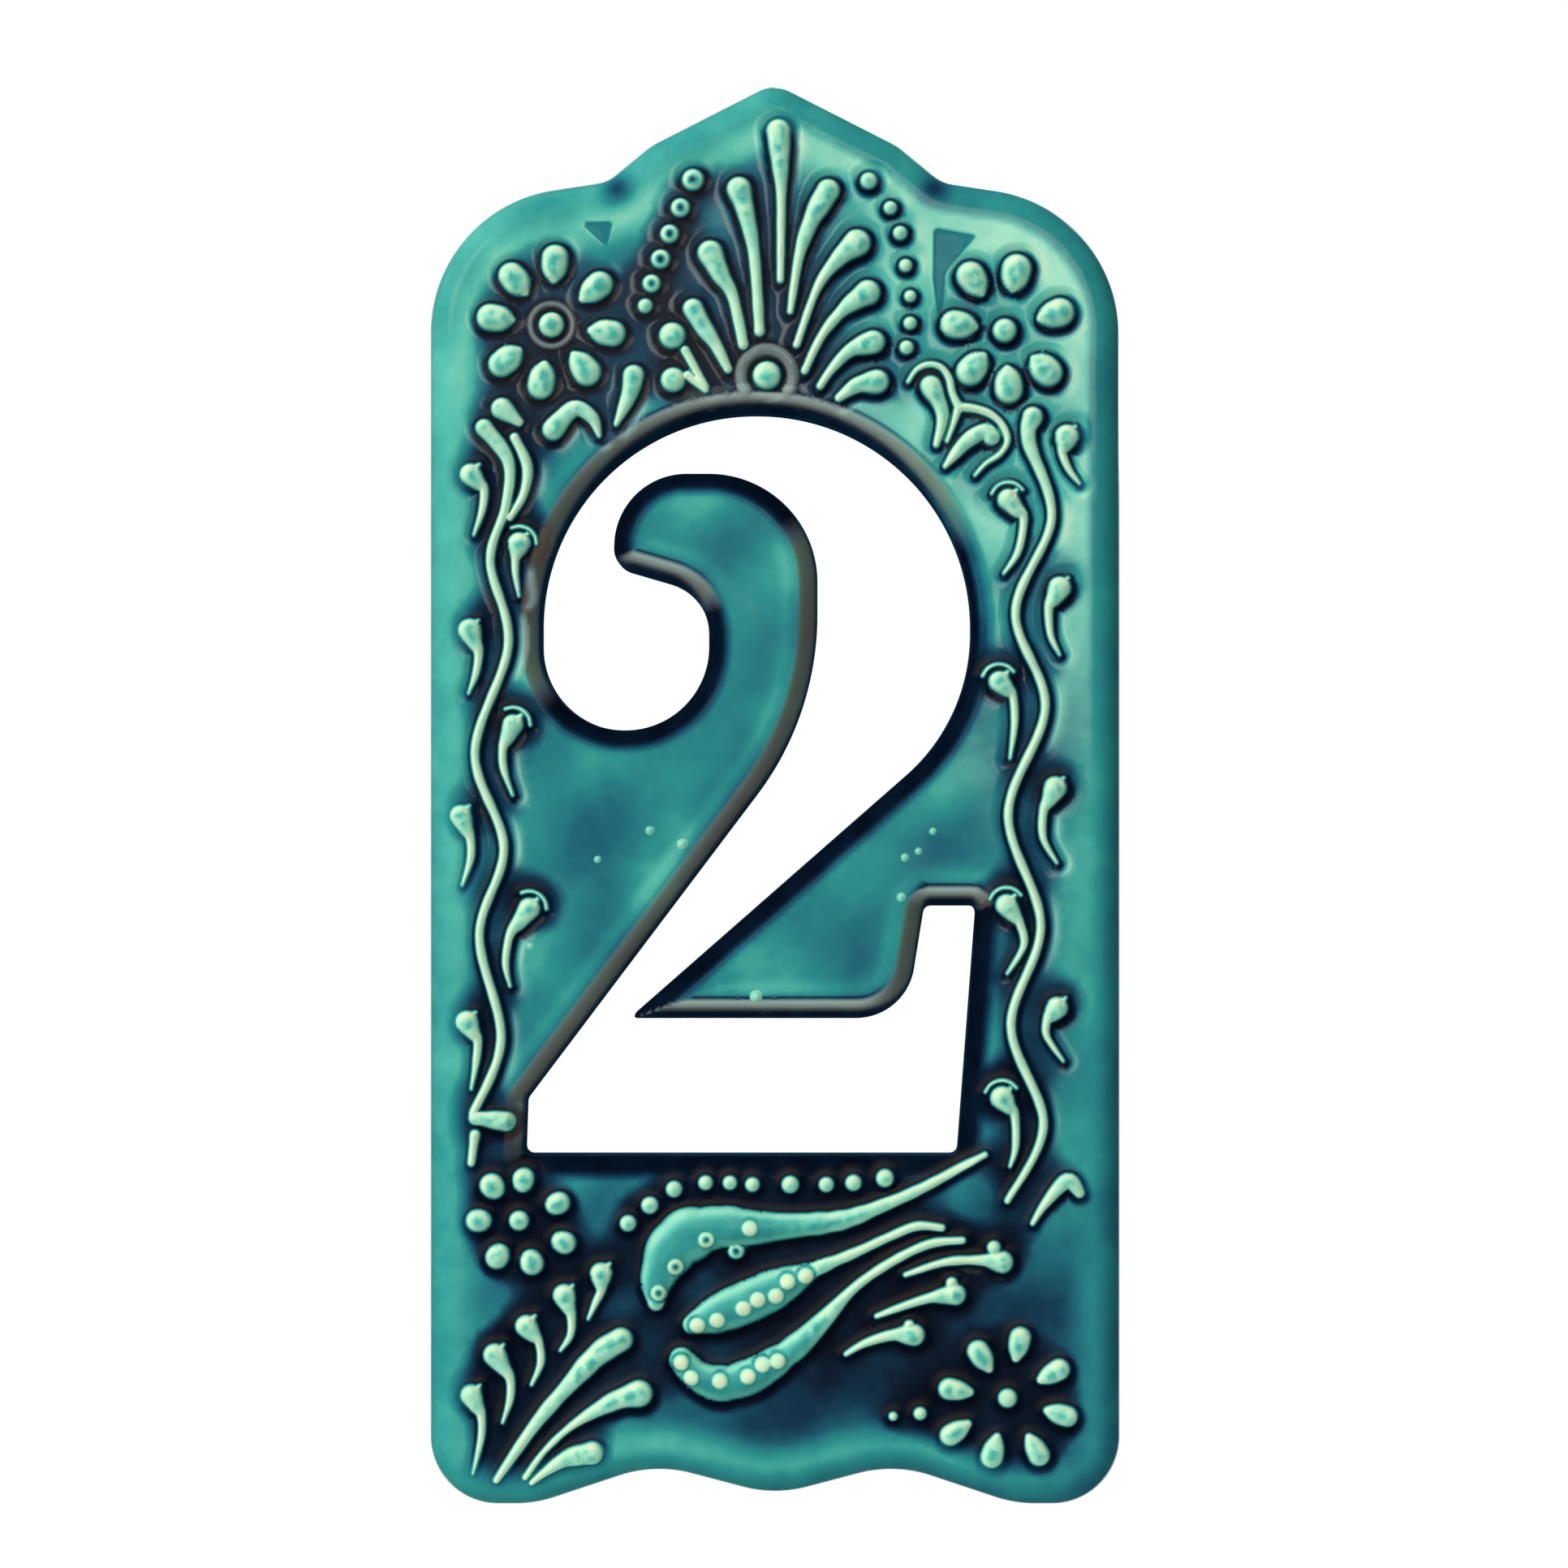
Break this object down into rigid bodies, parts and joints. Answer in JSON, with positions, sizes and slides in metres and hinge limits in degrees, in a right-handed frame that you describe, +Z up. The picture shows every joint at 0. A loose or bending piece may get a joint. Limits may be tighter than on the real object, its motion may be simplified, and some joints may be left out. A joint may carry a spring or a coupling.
{
  "type": "house number plaque",
  "caption": "Upright ceramic plaque with an arched top and waved foot, pierced right through by a numeral and covered with raised floral relief, for fixing flat to a wall.",
  "frame": {"origin": "middle of the flat back face", "axes": "+Z up along the plaque's height, +X to the viewer's right, -Y out of the decorated front, back face at y = 0"},
  "size_m": [0.0764, 0.0093, 0.157],
  "materials": {
    "glaze": "gloss"
  },
  "bodies": {
    "root": {"plaque": "glaze"}
  },
  "joints": []
}
